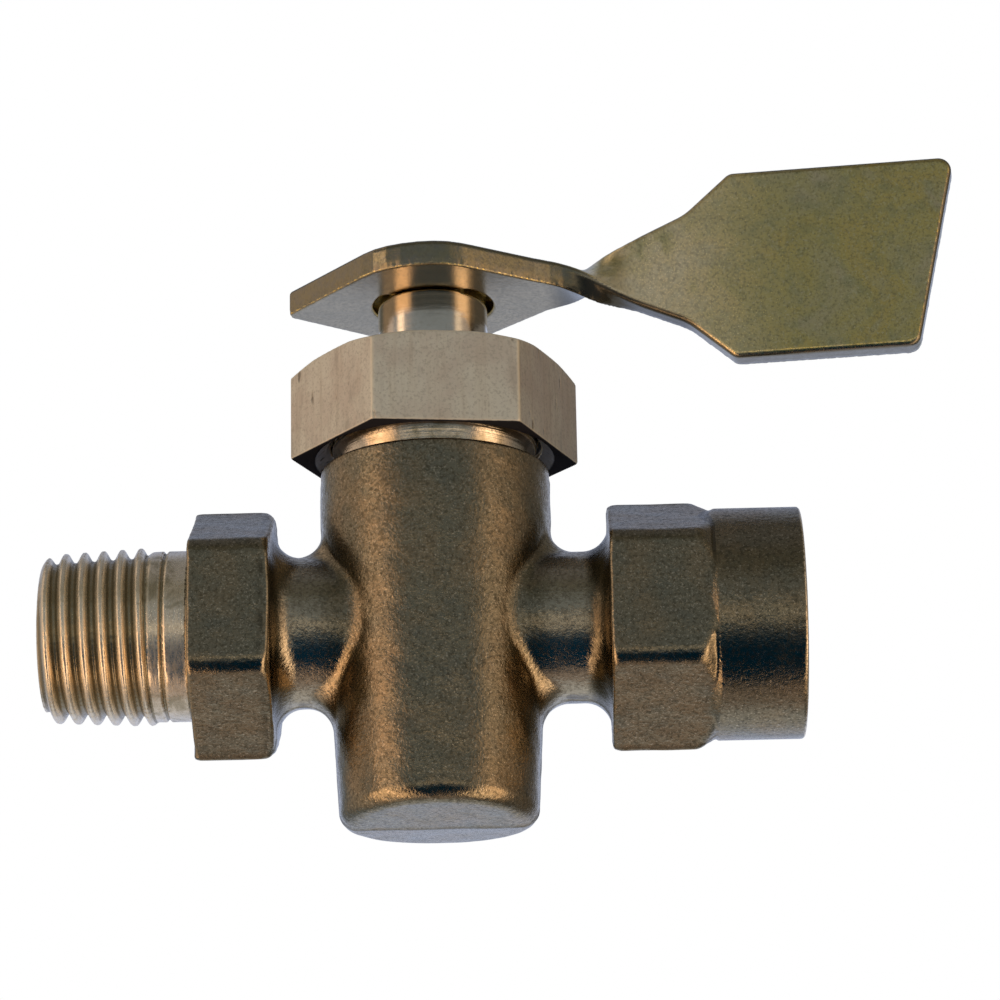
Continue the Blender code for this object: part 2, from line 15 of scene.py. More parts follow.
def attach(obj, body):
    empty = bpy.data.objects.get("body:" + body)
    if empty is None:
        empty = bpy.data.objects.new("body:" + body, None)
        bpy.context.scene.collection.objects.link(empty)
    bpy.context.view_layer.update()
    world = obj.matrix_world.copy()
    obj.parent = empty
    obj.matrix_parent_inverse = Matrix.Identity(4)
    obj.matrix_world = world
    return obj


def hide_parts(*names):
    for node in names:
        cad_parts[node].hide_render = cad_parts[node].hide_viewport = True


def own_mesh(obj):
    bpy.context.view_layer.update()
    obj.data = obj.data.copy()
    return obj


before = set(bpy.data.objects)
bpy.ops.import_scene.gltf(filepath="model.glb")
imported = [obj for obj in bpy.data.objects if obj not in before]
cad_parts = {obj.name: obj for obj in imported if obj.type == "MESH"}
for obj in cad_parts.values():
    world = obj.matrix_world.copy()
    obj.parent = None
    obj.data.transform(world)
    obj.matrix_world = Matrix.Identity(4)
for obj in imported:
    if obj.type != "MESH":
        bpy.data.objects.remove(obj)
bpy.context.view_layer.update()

MM = 0.001
PIPE_Z = 15.3                       # height of the pipe axis in the frame
PIPE_PITCH = 25.4 / 18.0            # pitch of both pipe threads
NECK_PITCH = 0.94                   # pitch of the thread between neck and nut
LEVER_TURN = math.radians(-7.5)
NUT_TURN = math.radians(7.0)


# ---------------------------------------------------------------- distance functions
def polygon_distance(points, px, py):
    """Signed distance to a closed polygon, negative inside."""
    nearest = np.full(px.shape, 1e9)
    inside = np.zeros(px.shape, bool)
    for (ax, ay), (bx, by) in zip(points, np.roll(points, -1, axis=0)):
        edge_x, edge_y = bx - ax, by - ay
        length2 = edge_x * edge_x + edge_y * edge_y
        if length2 < 1e-12:
            continue
        from_x, from_y = px - ax, py - ay
        t = np.clip((from_x * edge_x + from_y * edge_y) / length2, 0.0, 1.0)
        nearest = np.minimum(nearest, (from_x - edge_x * t) ** 2 + (from_y - edge_y * t) ** 2)
        spans = (ay > py) != (by > py)
        with np.errstate(divide="ignore", invalid="ignore"):
            crossing = edge_x * (py - ay) / edge_y + ax
        inside ^= spans & (px < crossing)
    return np.where(inside, -1.0, 1.0) * np.sqrt(nearest)


class Outline:
    """Signed distance to a polygon, kept on a fine grid and read back by interpolation.

    With half=True the points give one side only and are mirrored about the first axis' zero.
    """

    def __init__(self, points, margin=2.5, step=0.05, half=False):
        points = np.asarray(points, float)
        if half:
            points = np.vstack([points, points[::-1] * (-1.0, 1.0)])
        self.low = points.min(axis=0) - margin
        if half:
            self.low[0] = -0.3
        self.step = step
        count = np.ceil((points.max(axis=0) + margin - self.low) / step).astype(int) + 1
        axes = [self.low[k] + step * np.arange(count[k]) for k in range(2)]
        mesh = np.meshgrid(*axes, indexing="ij")
        self.grid = polygon_distance(points, *mesh).astype(np.float32)

    def __call__(self, u, v):
        grid = self.grid
        a = np.clip((u - self.low[0]) / self.step, 0.0, grid.shape[0] - 1.001)
        b = np.clip((v - self.low[1]) / self.step, 0.0, grid.shape[1] - 1.001)
        i, j = a.astype(np.int32), b.astype(np.int32)
        a, b = a - i, b - j
        return ((grid[i, j] * (1 - a) + grid[i + 1, j] * a) * (1 - b)
                + (grid[i, j + 1] * (1 - a) + grid[i + 1, j + 1] * a) * b)


def softened(rows):
    """Closed polygon from (u, v, corner radius) rows, each corner rounded (0 keeps it sharp)."""
    corners = [np.array(row[:2], float) for row in rows]
    out = []
    for k, corner in enumerate(corners):
        radius = rows[k][2]
        back, ahead = corners[k - 1] - corner, corners[(k + 1) % len(corners)] - corner
        back_len, ahead_len = np.linalg.norm(back), np.linalg.norm(ahead)
        back, ahead = back / back_len, ahead / ahead_len
        half = math.acos(max(-1.0, min(1.0, float(back @ ahead)))) / 2.0
        reach = 0.0
        if radius > 0:
            reach = min(radius / math.tan(half), 0.48 * back_len, 0.48 * ahead_len)
        if reach < 1e-4:
            out.append(tuple(corner))
            continue
        radius = reach * math.tan(half)
        middle = (back + ahead) / np.linalg.norm(back + ahead)
        centre = corner + middle * radius / math.sin(half)
        start, end = corner + back * reach - centre, corner + ahead * reach - centre
        turn = math.atan2(start[0] * end[1] - start[1] * end[0], float(start @ end))
        count = max(3, int(abs(turn) / 0.2))
        for i in range(count + 1):
            cos, sin = math.cos(turn * i / count), math.sin(turn * i / count)
            out.append((centre[0] + start[0] * cos - start[1] * sin,
                        centre[1] + start[0] * sin + start[1] * cos))
    return out


def turned(rows):
    """Solid of revolution from (radius, place along the axis, corner radius) rows."""
    return Outline(softened(rows), half=True)


def join(a, b, fillet):
    """Union with a filleted corner."""
    bulge = np.hypot(np.maximum(fillet - a, 0.0), np.maximum(fillet - b, 0.0))
    return np.maximum(fillet, np.minimum(a, b)) - bulge


def common(a, b, edge):
    """Intersection with its edge rounded to the given radius."""
    bulge = np.hypot(np.maximum(edge + a, 0.0), np.maximum(edge + b, 0.0))
    return np.minimum(-edge, np.maximum(a, b)) + bulge


def cut(a, b, edge):
    return common(a, -b, edge)


def smooth(t):
    t = np.clip(t, 0.0, 1.0)
    return t * t * t * (10.0 - 15.0 * t + 6.0 * t * t)


def ease(value, start, over):
    """Rises from 0 at start to 1 a distance `over` further on; a negative one looks backwards."""
    return smooth((value - start) / over)


def hexagon(a, b, across, edge):
    """Hexagonal bar: flats face +-a, corners point along +-b."""
    a, b = np.abs(a), np.abs(b)
    return common(a - across / 2.0, 0.5 * a + 0.8660254 * b - across / 2.0, edge)


def flank(phase, crest, root):
    """0 on the crests at whole phases, 1 in the roots; crest and root are shares of the turn."""
    from_crest = np.abs(phase - np.floor(phase) - 0.5) * 2.0
    return np.clip((from_crest - crest) / (1.0 - crest - root), 0.0, 1.0)


def ridge(phase, crest, root):
    """Thread form with nearly straight flanks."""
    t = flank(phase, crest, root)
    return smooth(t) * 0.35 + t * 0.65


def rounded_ridge(phase, crest, root):
    """Thread form with round crests and roots."""
    return 0.5 - 0.5 * np.cos(math.pi * flank(phase, crest, root))


def turned_axes(x, y, angle):
    """Coordinates along axes turned by the angle about the stem."""
    cos, sin = math.cos(angle), math.sin(angle)
    return x * cos + y * sin, -x * sin + y * cos


# ---------------------------------------------------------------- meshing
def build(name, points, quads):
    """Object from points and quads, its faces turned outwards."""
    quads = np.asarray(quads, np.int32)
    a, b, c, d = (points[quads[:, k]] for k in range(4))
    volume = (np.einsum("ij,ij->i", a, np.cross(b, c))
              + np.einsum("ij,ij->i", a, np.cross(c, d))).sum()
    if volume < 0:
        quads = quads[:, ::-1]
    mesh = bpy.data.meshes.new(name)
    placed = (points + np.array([0.0, 0.0, PIPE_Z])) * MM
    mesh.vertices.add(len(placed))
    mesh.vertices.foreach_set("co", placed.astype(np.float32).ravel())
    mesh.loops.add(quads.size)
    mesh.loops.foreach_set("vertex_index", quads.ravel())
    mesh.polygons.add(len(quads))
    mesh.polygons.foreach_set("loop_start", np.arange(0, quads.size, 4, dtype=np.int32))
    mesh.polygons.foreach_set("use_smooth", np.ones(len(quads), bool))
    mesh.update(calc_edges=True)
    mesh.validate()
    obj = bpy.data.objects.new(name, mesh)
    bpy.context.scene.collection.objects.link(obj)
    return obj


def mesh_from(name, shape, low, high, cell):
    """Closed mesh of shape(x, y, z) = 0 inside the box low..high."""
    # a coarse pass over blocks of cells finds those near the surface
    block = 5
    big = cell * block
    low = np.array(low, float) - 3.0 * cell
    count = np.ceil((np.array(high, float) + 3.0 * cell - low) / big).astype(int) + 1
    centres = [low[k] + big * (np.arange(count[k]) + 0.5) - cell / 2.0 for k in range(3)]
    grids = np.meshgrid(*centres, indexing="ij")
    coarse = shape(*(g.ravel() for g in grids)).reshape(count)
    band = 3.0 * cell
    full = np.where(coarse > 0, band, -band).astype(np.float32)
    for axis in range(3):
        full = np.repeat(full, block, axis)
    near = np.argwhere(np.abs(coarse) < big * 1.9)
    offsets = np.stack(np.meshgrid(*[np.arange(block)] * 3, indexing="ij"), -1).reshape(-1, 3)
    for start in range(0, len(near), 8000):
        idx = (near[start:start + 8000, None, :] * block + offsets[None]).reshape(-1, 3)
        full[tuple(idx.T)] = np.clip(shape(*(low + cell * idx).T), -band, band)
    grid = vdb.FloatGrid(band)
    grid.copyFromArray(full)
    points, quads = grid.convertToQuads(0.0)
    points = low + cell * np.asarray(points, float)

    # draw the points onto the exact surface
    reach = 0.02
    for _ in range(3):
        value = shape(*points.T)
        slope = np.stack([(shape(*(points + s).T) - shape(*(points - s).T)) / (2 * reach)
                          for s in reach * np.eye(3)], -1)
        step = -value[:, None] * slope / np.maximum((slope * slope).sum(1), 0.35)[:, None]
        size = np.linalg.norm(step, axis=1)
        points += step * np.minimum(1.0, 0.3 * cell / np.maximum(size, 1e-9))[:, None]

    # bend: positive on convex edges, negative in hollows
    reach = 0.12
    around = sum(shape(*(points + sign * reach * axis).T)
                 for axis in np.eye(3) for sign in (1, -1))
    bend = np.clip((around - 6.0 * shape(*points.T)) / (reach * reach) / 6.0, -1.0, 1.0)
    obj = build(name, points, quads)
    attribute = obj.data.attributes.new("bend", "FLOAT", "POINT")
    attribute.data.foreach_set("value", bend.astype(np.float32))
    return obj


def face_centres(obj):
    """Face centres in mm about the pipe axis, as x, y and z arrays."""
    centres = np.empty(len(obj.data.polygons) * 3, np.float32)
    obj.data.polygons.foreach_get("center", centres)
    x, y, z = (centres.reshape(-1, 3).astype(float) / MM).T
    return x, y, z - PIPE_Z


def lathe(name, profile, steps=120):
    """Ring turned about the stem from a closed (radius, height) outline."""
    profile = np.asarray(profile, float)
    count = len(profile)
    angle = math.tau * np.arange(steps) / steps
    points = np.stack([np.outer(np.cos(angle), profile[:, 0]),
                       np.outer(np.sin(angle), profile[:, 0]),
                       np.tile(profile[:, 1], (steps, 1))], -1).reshape(-1, 3)
    i, k = np.meshgrid(np.arange(steps), np.arange(count), indexing="ij")
    i2, k2 = (i + 1) % steps, (k + 1) % count
    quads = np.stack([i * count + k, i2 * count + k, i2 * count + k2, i * count + k2], -1)
    return build(name, points, quads.reshape(-1, 4))


# ---------------------------------------------------------------- valve body
BARREL_TOP, BARREL_R, BOTTOM = 12.4, 8.67, -PIPE_Z
STRAIGHT = 8.3                      # the barrel narrows below this height
DRAFT = math.tan(math.radians(3.28))
NECK_R, NECK_TOP = 7.85, 18.1
ARM_R, ARM_REACH, BORE_R = 5.7, 14.0, 3.6
HEX_ACROSS = 16.7
MALE_END, RUNOUT, FEMALE_END = -29.55, -21.6, 27.4
MALE_CREST_R, MALE_TAPER, MALE_DEPTH = 6.72, 0.05, 0.76
FEMALE_MINOR_R, FEMALE_TAPER, FEMALE_DEPTH = 5.72, 1.0 / 32.0, 0.92


def barrel_r(z):
    return BARREL_R - max(0.0, STRAIGHT - z) * DRAFT


# rows: radius, height along the stem, corner radius
barrel = turned([
    (0, NECK_TOP, 0), (NECK_R - 0.45, NECK_TOP, 0.05), (NECK_R - 0.02, NECK_TOP - 0.45, 0.05),
    (NECK_R - 0.02, 14.5, 0.05), (NECK_R - 0.08, 14.2, 0.05),
    (NECK_R - 0.60, BARREL_TOP + 0.02, 0.12), (BARREL_R + 0.01, BARREL_TOP, 0.16),
    (BARREL_R, STRAIGHT, 3.0), (barrel_r(-4.0), -4.0, 0), (barrel_r(-18.0), -18.0, 0),
    (0, -18.0, 0)])
plug_seat = turned([
    (0, 19.5, 0), (7.2, 19.5, 0), (6.5, 17.75, 0.05), (6.5, 10.35, 0.05), (6.21, 10.35, 0.05),
    (4.89, -12.3, 0.5), (0, -13.1, 0)])
# rows: radius, place along the pipe, corner radius
male_collar = turned([
    (0, -12.1, 0), (8.3, -12.1, 0.3), (9.0, -12.22, 0.5), (9.66, -12.75, 0.4),
    (9.8, -13.2, 0.4), (9.8, -17.8, 0.25), (9.58, -18.15, 0.2), (0, -18.15, 0)])
female_collar = turned([
    (0, 21.2, 0), (8.2, 21.2, 0.1), (8.55, 20.75, 0.2), (9.75, 19.3, 0.5), (9.8, 18.9, 0.4),
    (9.8, 13.6, 0.6), (9.5, 13.12, 0.3), (8.9, 13.0, 0.3), (0, 13.0, 0)])
female_band = turned([
    (0, FEMALE_END, 0), (8.72, FEMALE_END, 0.28), (8.72, 20.95, 0.3), (8.36, 20.25, 0.3),
    (8.1, 19.6, 0.3), (8.1, 16.0, 0), (0, 16.0, 0)])
male_neck = turned([
    (0, -15.0, 0), (7.6, -15.0, 0), (7.6, -17.6, 0.3), (6.43, -18.2, 0.5),
    (6.43, -20.02, 0.04), (6.22, -20.14, 0.04), (6.22, -20.3, 0.04), (6.43, -20.42, 0.04),
    (6.40, -21.2, 0.3), (5.6, -22.4, 0), (5.6, -28.9, 0), (0, -28.9, 0)])


def forging(x, y, z, stem_r, pipe_r):
    """Barrel, arms and both hexagons, with the parting line and uneven forged skin."""
    underside = (BOTTOM + np.maximum(np.abs(y) - 0.35, 0.0) * 0.07 - z) * 0.9975
    d = common(barrel(stem_r, z), underside, edge=1.25)
    arms = np.maximum(pipe_r - ARM_R, np.abs(x) - ARM_REACH)
    d = join(d, arms, fillet=0.65 + 1.45 * (1.0 - ease(np.abs(y), start=1.2, over=3.2)))
    hexbar = hexagon(y, z, HEX_ACROSS, edge=0.75)
    male_hex = common(hexbar, male_collar(pipe_r, x), edge=0.22)
    female_hex = common(hexbar, female_collar(pipe_r, x), edge=0.28)
    d = join(d, np.minimum(male_hex, female_hex), fillet=2.0)
    forged = ease(x, start=-19.0, over=0.6) * ease(z, start=12.0, over=-0.6)
    d = d - 0.07 * np.exp(-(y / 0.28) ** 2) * forged
    waves = (np.sin(1.15 * x + 0.7 * z + 1.0) * np.sin(0.9 * z - 0.8 * y)
             + np.sin(1.9 * y + 0.6 * x + 2.0) * np.sin(1.6 * z + 0.5 * x)
             + 0.6 * np.sin(3.1 * z + 1.3 * x) * np.sin(2.7 * y - 1.1 * x + 0.5))
    return d + forged * 0.014 * waves


def male_thread(x, pipe_r, pipe_turn):
    """Tapered thread fading out at RUNOUT, with a lowered start at MALE_END."""
    fade = ease(x, start=RUNOUT + 1.15, over=-1.5)
    lead = ease(x, start=MALE_END - 0.15, over=1.1)
    crest_r = MALE_CREST_R + (x - RUNOUT) * MALE_TAPER - 0.55 * (1.0 - lead) - (1.0 - fade) * 0.36
    depth = MALE_DEPTH * (0.25 + 0.75 * fade) * (0.55 + 0.45 * lead)
    phase = (x - (MALE_END + 0.28)) / PIPE_PITCH - pipe_turn
    form = (0.6 * rounded_ridge(phase, crest=0.06, root=0.05)
            + 0.4 * ridge(phase, crest=0.16, root=0.12))
    ends = np.maximum(MALE_END - x, x + 20.9)
    return common((pipe_r - (crest_r - depth * form)) * 0.80, ends, edge=0.15)


def female_socket(x, pipe_r, pipe_turn):
    """Tapered, threaded socket with a chamfered mouth and a conical floor."""
    minor_r = FEMALE_MINOR_R + (x - FEMALE_END) * FEMALE_TAPER
    depth = FEMALE_DEPTH * ease(x, start=16.4, over=1.2)
    groove = depth * ridge((x - 1.0) / PIPE_PITCH - pipe_turn, crest=0.16, root=0.16)
    mouth = np.maximum(x - FEMALE_END + 1.15, 0.0) * 1.05 - 0.1
    wall_r = minor_r + np.maximum(groove, mouth)
    floor_x = 13.9 - (pipe_r - 5.3) * 0.37
    return common((pipe_r - wall_r) * 0.85, floor_x - x, edge=0.15)


def body(x, y, z):
    stem_r, pipe_r = np.hypot(x, y), np.hypot(y, z)
    pipe_turn = np.arctan2(y, -z) / math.tau
    d = forging(x, y, z, stem_r, pipe_r)
    d = join(d, female_band(pipe_r, x), fillet=0.15)
    d = join(d, male_neck(pipe_r, x), fillet=0.25)
    d = np.minimum(d, male_thread(x, pipe_r, pipe_turn))
    # fine thread of the neck under the nut
    wave = ridge(z / NECK_PITCH - np.arctan2(y, x) / math.tau, crest=0.12, root=0.10)
    wave = wave * ease(z, start=14.35, over=0.5)
    threaded = np.maximum(d, (stem_r - (NECK_R - 0.02 - 0.5 * wave)) * 0.8)
    d = np.where((z > 13.9) & (stem_r > 6.8), threaded, d)
    # plug seat, water way, chamfer of its male end, and socket
    d = cut(d, plug_seat(stem_r, z), edge=0.06)
    d = cut(d, pipe_r - BORE_R, edge=0.12)
    flare = pipe_r - BORE_R - np.maximum(MALE_END + 0.55 - x, 0.0)
    d = cut(d, common(flare, x + 27.0, edge=0.02), edge=0.05)
    return cut(d, female_socket(x, pipe_r, pipe_turn), edge=0.05)


# ---------------------------------------------------------------- bonnet nut
NUT_ACROSS, NUT_LOW, NUT_HIGH = 19.05, 13.45, 20.6
NUT_BORE_R, NUT_HOLE_R, SEAL_GROOVE_R = 7.9, 4.33, 5.27

# rows: radius, height, corner radius
nut_outside = turned([
    (0, NUT_HIGH, 0), (9.45, NUT_HIGH, 0.3), (9.75, NUT_HIGH - 0.06, 0.3),
    (11.1, NUT_HIGH - 0.66, 0), (11.1, NUT_LOW + 0.12, 0), (10.85, NUT_LOW, 0.12),
    (0, NUT_LOW, 0)])
nut_bore = turned([
    (0, 22.0, 0), (5.6, 22.0, 0), (4.78, NUT_HIGH, 0.2), (NUT_HOLE_R, NUT_HIGH - 0.4, 0.1),
    (NUT_HOLE_R, 19.91, 0.08), (SEAL_GROOVE_R, 19.91, 0.1), (SEAL_GROOVE_R, 18.89, 0.1),
    (NUT_HOLE_R, 18.89, 0.08), (NUT_HOLE_R, 18.3, 0.05), (8.25, 18.3, 0.1), (8.25, 17.9, 0.1),
    (NUT_BORE_R, 17.5, 0.1), (NUT_BORE_R, NUT_LOW + 1.1, 0.08), (9.2, NUT_LOW, 0.1),
    (9.35, NUT_LOW - 1.5, 0), (0, NUT_LOW - 1.5, 0)])


def nut(x, y, z):
    u, v = turned_axes(x, y, NUT_TURN)
    stem_r = np.hypot(x, y)
    d = common(hexagon(v, u, NUT_ACROSS, edge=0.16), nut_outside(stem_r, z), edge=0.09)
    d = cut(d, nut_bore(stem_r, z), edge=0.05)
    phase = z / NECK_PITCH - np.arctan2(y, x) / math.tau + 0.5
    span = ease(z, start=NUT_LOW + 0.3, over=0.4) * ease(z, start=17.6, over=-0.4)
    wall_r = NUT_BORE_R + 0.42 * ridge(phase, crest=0.12, root=0.12) * span
    ends = np.maximum(z - 17.8, NUT_LOW + 0.2 - z)
    return cut(d, np.maximum((stem_r - wall_r) * 0.8, ends), edge=0.03)


# ---------------------------------------------------------------- tapered plug and its stem
STEM_R, STEM_TOP, PLUG_TOP, PLUG_LOW = 4.25, 26.0, 10.5, -11.2
TANG_HALF = 3.1                     # half the distance across the stem's two flats
PORT_R = 3.2
HEAD_LOW, HEAD_HIGH, HEAD_EDGE_R = 28.2, 29.15, 0.22


def cone_r(z):
    return 6.10 + (z - 9.5) * 0.0585


# rows: radius, height, corner radius
plug_outline = turned([
    (0, STEM_TOP, 0), (STEM_R - 0.04, STEM_TOP, 0.14), (STEM_R - 0.04, 24.9, 0.03),
    (STEM_R - 0.04, 24.8, 0.03), (STEM_R - 0.04, 20.0, 0.3), (STEM_R - 0.12, 17.9, 0.3),
    (STEM_R - 0.12, 11.3, 0.1), (STEM_R, 11.0, 0.1), (STEM_R, PLUG_TOP, 0.2),
    (cone_r(PLUG_TOP), PLUG_TOP, 0.35), (cone_r(PLUG_LOW), PLUG_LOW, 0.35), (0, PLUG_LOW, 0)])
# rows: radius, height; the rim is an arc from 60 down to -90 degrees
head_crown = [(0, HEAD_HIGH), (1.6, HEAD_HIGH - 0.02), (2.9, HEAD_HIGH - 0.12),
              (3.9, HEAD_HIGH - 0.3), (4.7, HEAD_HIGH - 0.52)]
head_rim = [(4.82 + HEAD_EDGE_R * math.cos(angle), 28.42 + HEAD_EDGE_R * math.sin(angle))
            for angle in (math.radians(60 - 150 * k / 8) for k in range(9))]
head_outline = Outline(head_crown + head_rim + [(0, HEAD_LOW)], half=True)


def plug(x, y, z):
    stem_r = np.hypot(x, y)
    along, across = turned_axes(x, y, LEVER_TURN)
    tang = common(stem_r - STEM_R + 0.1, np.abs(across) - TANG_HALF, edge=0.12)
    tang = common(tang, np.maximum(25.0 - z, z - 28.5), edge=0.05)
    d = join(plug_outline(stem_r, z), tang, fillet=0.06)
    # head slightly out of round, with a centre dimple
    angle = np.arctan2(across, along)
    uneven = 1.0 + 0.012 * np.cos(2.0 * angle) + 0.006 * np.cos(5.0 * angle + 1.0)
    dimple = np.sqrt(stem_r ** 2 + (z - HEAD_HIGH - 1.7) ** 2) - 2.05
    d = np.minimum(d, cut(head_outline(stem_r * uneven, z), dimple, edge=0.15))
    # port across the plug, along the pipe
    return cut(d, np.hypot(y, z) - PORT_R, edge=0.14)


# ---------------------------------------------------------------- lever
LEVER_LOW, LEVER_THICK, RISE = 26.1, 2.0, 0.42
TWIST_START, TWIST_LENGTH = 9.0, 8.0      # the strip turns on edge over this length
HALF_WIDTH, UPPER_END, LOWER_END = 7.58, 40.62, 37.25

# rows: place along the lever, half width, corner radius
lever_side = [(-11.15, 0.4, 0.35), (-0.4, 10.75, 5.9), (9.95, 2.08, 5.0), (14.4, 2.05, 7.0),
              (19.8, 4.45, 4.0), (23.35, HALF_WIDTH, 0.9)]
lever_outline = Outline(
    softened(lever_side + [(UPPER_END, HALF_WIDTH, 1.0), (LOWER_END, -HALF_WIDTH, 1.0)]
             + [(along, -width, corner) for along, width, corner in reversed(lever_side)]),
    margin=3.0, step=0.06)


def lever_local(x, y, z):
    """Coordinates of the flat strip: along it, across it and through its thickness."""
    along, across = turned_axes(x, y, LEVER_TURN)
    twist = ease(along, TWIST_START, TWIST_LENGTH)
    phi = twist * math.pi / 2.0
    sway = (-0.2 - 0.5 * ease(along, start=-2.0, over=7.0)
            + 0.7 * ease(along, start=8.0, over=5.0))
    a = across - sway
    b = z - (LEVER_LOW + LEVER_THICK / 2.0 + RISE * twist)
    return along, a * np.cos(phi) + b * np.sin(phi), -a * np.sin(phi) + b * np.cos(phi)


def wobble(place, seed):
    """Fixed small irregular wave along an edge, about -1 to 1."""
    return (np.sin(place * 5.1 + seed) + np.sin(place * 8.7 + 1.7 * seed)
            + np.sin(place * 13.3 + 0.6 * seed) + 0.8 * np.sin(place * 21.7 + 2.3 * seed)) / 3.8


def lever(x, y, z):
    along, width, height = lever_local(x, y, z)
    outline = lever_outline(along, width)
    side = np.where(width > 0, 1.0, 2.0)
    # sheared edge: rolled over on the upper face, ragged near the lower one
    ragged = smooth((-height - 0.5 - 0.10 * wobble(0.6 * along, side * 2.0)) / 0.25)
    outline = outline + ragged * (0.035 + 0.025 * wobble(along + 0.3 * width, side * 3.0))
    upper = common(outline, height - LEVER_THICK / 2.0, edge=0.42)
    lower = common(outline, -height - LEVER_THICK / 2.0, edge=0.10)
    # hole with two flats for the tang
    u, v = turned_axes(x, y, LEVER_TURN)
    hole = common(np.hypot(u - 0.05, v) - 4.66, np.abs(v) - 3.2, edge=0.2)
    hole = np.maximum(hole, np.abs(z - 27.1) - 3.0)
    return cut(np.maximum(upper, lower), hole, edge=0.16)


# ---------------------------------------------------------------- washers, ring and spring
RING_IN, RING_OUT = 4.45, 6.35


def slip_washer():
    low, high, corner = 10.6, 11.2, 0.12
    return lathe("slip_washer_fine", softened([
        (RING_IN, low, corner), (RING_OUT, low, corner),
        (RING_OUT, high, corner), (RING_IN, high, corner)]))


def stamped_ring(name, low, high):
    """Stamped washer: rolled upper corners, a low burr at the lower ones."""
    return lathe(name, softened([
        (4.47, low, 0.02), (4.60, low + 0.04, 0.06), (6.20, low + 0.04, 0.06),
        (6.34, low, 0.02), (RING_OUT, high, 0.22), (RING_IN, high, 0.22)]))


def oring():
    centre_r, centre_z, radius = 4.76, 19.4, 0.46
    return lathe("oring_fine", [
        (centre_r + radius * math.cos(angle), centre_z + radius * math.sin(angle))
        for angle in np.linspace(0, math.tau, 24, endpoint=False)])


def coil():
    """Compression spring: closed and ground end coils, open coils between."""
    wire_r, mean_r, bottom, top, turns = 0.5, 5.35, 12.0, 17.25, 3.25
    steps, sides = 460, 18
    low, high = bottom + wire_r * 0.72, top - wire_r * 0.72
    points = []
    for i in range(steps + 1):
        share = i / steps
        angle = math.tau * turns * share
        climb = min(1.0, max(0.0, (share - 0.10) / 0.80))
        z = (low + (high - low) * (0.62 * climb + 0.38 * float(smooth(climb)))
             + 0.12 * (share - climb))
        flatten = min(1.0, 0.55 + 9.0 * min(share, 1.0 - share))
        for k in range(sides):
            around = math.tau * k / sides
            radius = mean_r + wire_r * math.cos(around)
            height = z + wire_r * flatten * math.sin(around)
            points.append((radius * math.cos(angle), radius * math.sin(angle),
                           min(max(height, bottom + 0.02), top - 0.02)))
    faces = [(i * sides + k, i * sides + (k + 1) % sides,
              (i + 1) * sides + (k + 1) % sides, (i + 1) * sides + k)
             for i in range(steps) for k in range(sides)]
    points = np.array(points, float)
    first, last = points[:sides].mean(axis=0), points[-sides:].mean(axis=0)
    points = np.vstack([points, first, last])
    first_id, last_id = len(points) - 2, len(points) - 1
    end = steps * sides
    for k in range(0, sides, 2):
        faces.append((first_id, (k + 2) % sides, k + 1, k))
        faces.append((last_id, end + k, end + k + 1, end + (k + 2) % sides))
    return build("plug_spring_fine", points, faces)


# ---------------------------------------------------------------- pieces
body_obj = mesh_from("body_forging", body, (-29.8, -9.9, -15.6), (27.6, 9.9, 18.4), cell=0.17)
nut_obj = mesh_from("bonnet_nut_fine", nut, (-11.2, -11.2, 13.2), (11.2, 11.2, 20.9), cell=0.13)
plug_obj = mesh_from("plug_and_stem", plug, (-6.4, -6.4, -11.5), (6.4, 6.4, 29.4), cell=0.13)
lever_obj = mesh_from("lever_stamping", lever, (-11.8, -11.5, 18.5), (41.9, 11.5, 36.2),
                      cell=0.15)
slip_obj = slip_washer()
lower_obj = stamped_ring("lower_washer_fine", low=11.3, high=11.9)
upper_obj = stamped_ring("upper_washer_fine", low=17.35, high=17.95)
oring_obj = oring()
spring_obj = coil()


# ---------------------------------------------------------------- node trees
class Nodes:
    """Short hand for building a node tree; `colour` gathers the painted layers."""

    def __init__(self, tree, coords):
        self.tree = tree
        self.coords = self.node("TexCoord").outputs[coords]
        self.colour = None

    def node(self, kind):
        return self.tree.nodes.new("ShaderNode" + kind)

    def put(self, socket, value):
        """Link an output to the socket, or set its value; colours get an alpha of 1."""
        if hasattr(value, "is_output"):
            self.tree.links.new(value, socket)
        elif isinstance(value, tuple) and len(value) == 3 and len(socket.default_value) == 4:
            socket.default_value = (*value, 1.0)
        else:
            socket.default_value = value

    def axes(self, vector):
        node = self.node("SeparateXYZ")
        self.put(node.inputs[0], vector)
        return node.outputs

    def between(self, value, span, to=(0.0, 1.0)):
        """Smooth change of the output over `to` while the value crosses `span`."""
        node = self.node("MapRange")
        node.clamp = True
        node.interpolation_type = "SMOOTHSTEP"
        self.put(node.inputs["Value"], value)
        for key, number in zip(("From Min", "From Max", "To Min", "To Max"), (*span, *to)):
            self.put(node.inputs[key], number)
        return node.outputs["Result"]

    def math(self, operation, a, b=0.0):
        node = self.node("Math")
        node.operation = operation
        self.put(node.inputs[0], a)
        self.put(node.inputs[1], b)
        return node.outputs[0]

    def times(self, first, *others):
        for other in others:
            first = self.math("MULTIPLY", first, other)
        return first

    def mix(self, factor, a, b):
        node = self.node("Mix")
        node.data_type = "RGBA"
        node.blend_type = "MIX"
        self.put(node.inputs["Factor"], factor)
        self.put(node.inputs[6], a)
        self.put(node.inputs[7], b)
        return node.outputs[2]

    def paint(self, colour, mask, span=None, top=1.0):
        """Lay a colour over the gathered one, by the mask or by its rise over `span` to `top`."""
        if span:
            mask = self.between(mask, span, to=(0.0, top))
        self.colour = self.mix(mask, self.colour, colour)


